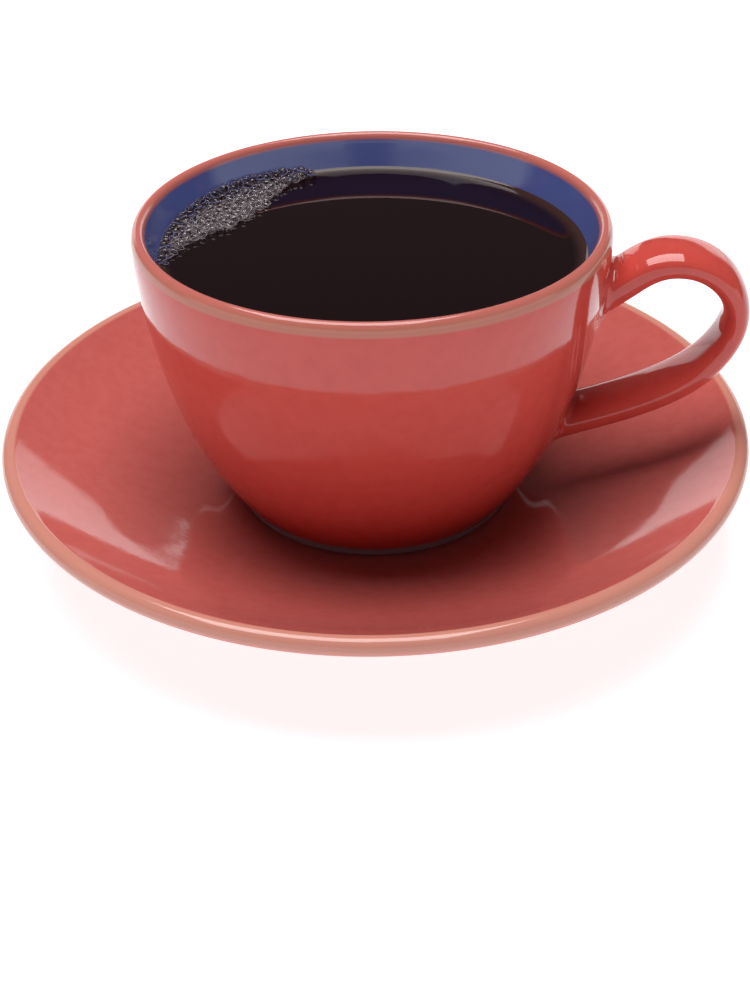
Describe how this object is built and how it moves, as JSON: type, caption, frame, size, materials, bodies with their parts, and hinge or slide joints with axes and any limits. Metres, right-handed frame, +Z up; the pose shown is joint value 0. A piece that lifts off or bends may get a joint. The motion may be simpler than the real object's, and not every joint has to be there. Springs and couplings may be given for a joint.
{
  "type": "cup of coffee with saucer",
  "caption": "Filled stoneware coffee cup with a strap handle, black coffee and a crescent of foam, standing on its round saucer.",
  "frame": {"origin": "centre of the saucer's foot ring, on the table", "axes": "+Z up out of the cup, +X from the cup's axis towards the handle"},
  "size_m": [0.168, 0.168, 0.0728],
  "materials": {
    "red_glaze": "glossy red stoneware glaze that thins to tan on the lip",
    "cup_glaze": "glossy red stoneware glaze outside, cobalt blue inside, dark slate foot ring",
    "coffee": "black coffee, mirror smooth",
    "foam": "small clear bubbles with brown outlines"
  },
  "bodies": {
    "root": {"saucer": "red_glaze", "cup": "cup_glaze", "coffee": "coffee", "foam": "foam"}
  },
  "joints": []
}
